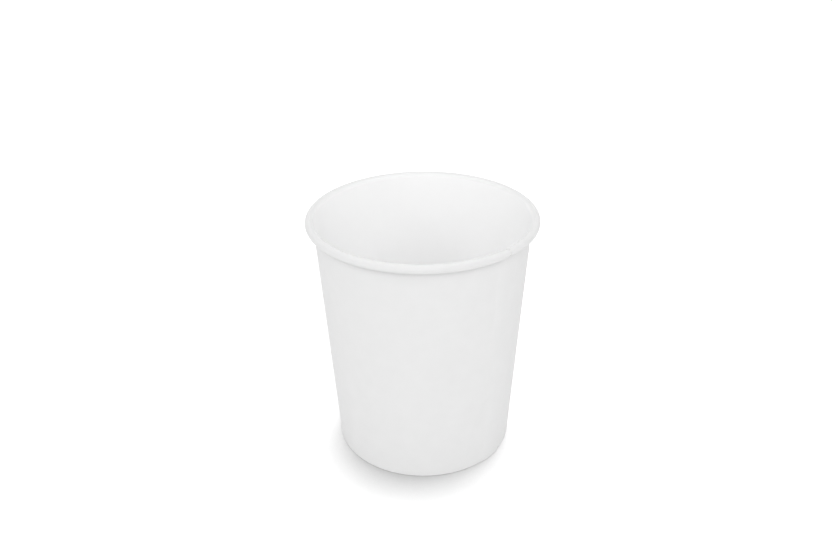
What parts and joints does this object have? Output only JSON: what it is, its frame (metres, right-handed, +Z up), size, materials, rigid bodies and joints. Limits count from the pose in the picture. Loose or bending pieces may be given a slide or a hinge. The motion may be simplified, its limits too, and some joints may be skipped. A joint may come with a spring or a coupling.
{
  "type": "paper cup",
  "caption": "Plain white single-wall paper cup: tapered seamed sidewall with a rolled rim and a recessed base, for hot drinks.",
  "frame": {"origin": "on the cup's axis in its standing plane", "axes": "+Z up along the cup's axis, -Y towards the front, +X to the right seen from the front"},
  "size_m": [0.08, 0.08, 0.088],
  "materials": {
    "sidewall_board": "matte",
    "base_board": "matte"
  },
  "bodies": {
    "root": {"sidewall": "sidewall_board", "base_disc": "base_board"}
  },
  "joints": []
}
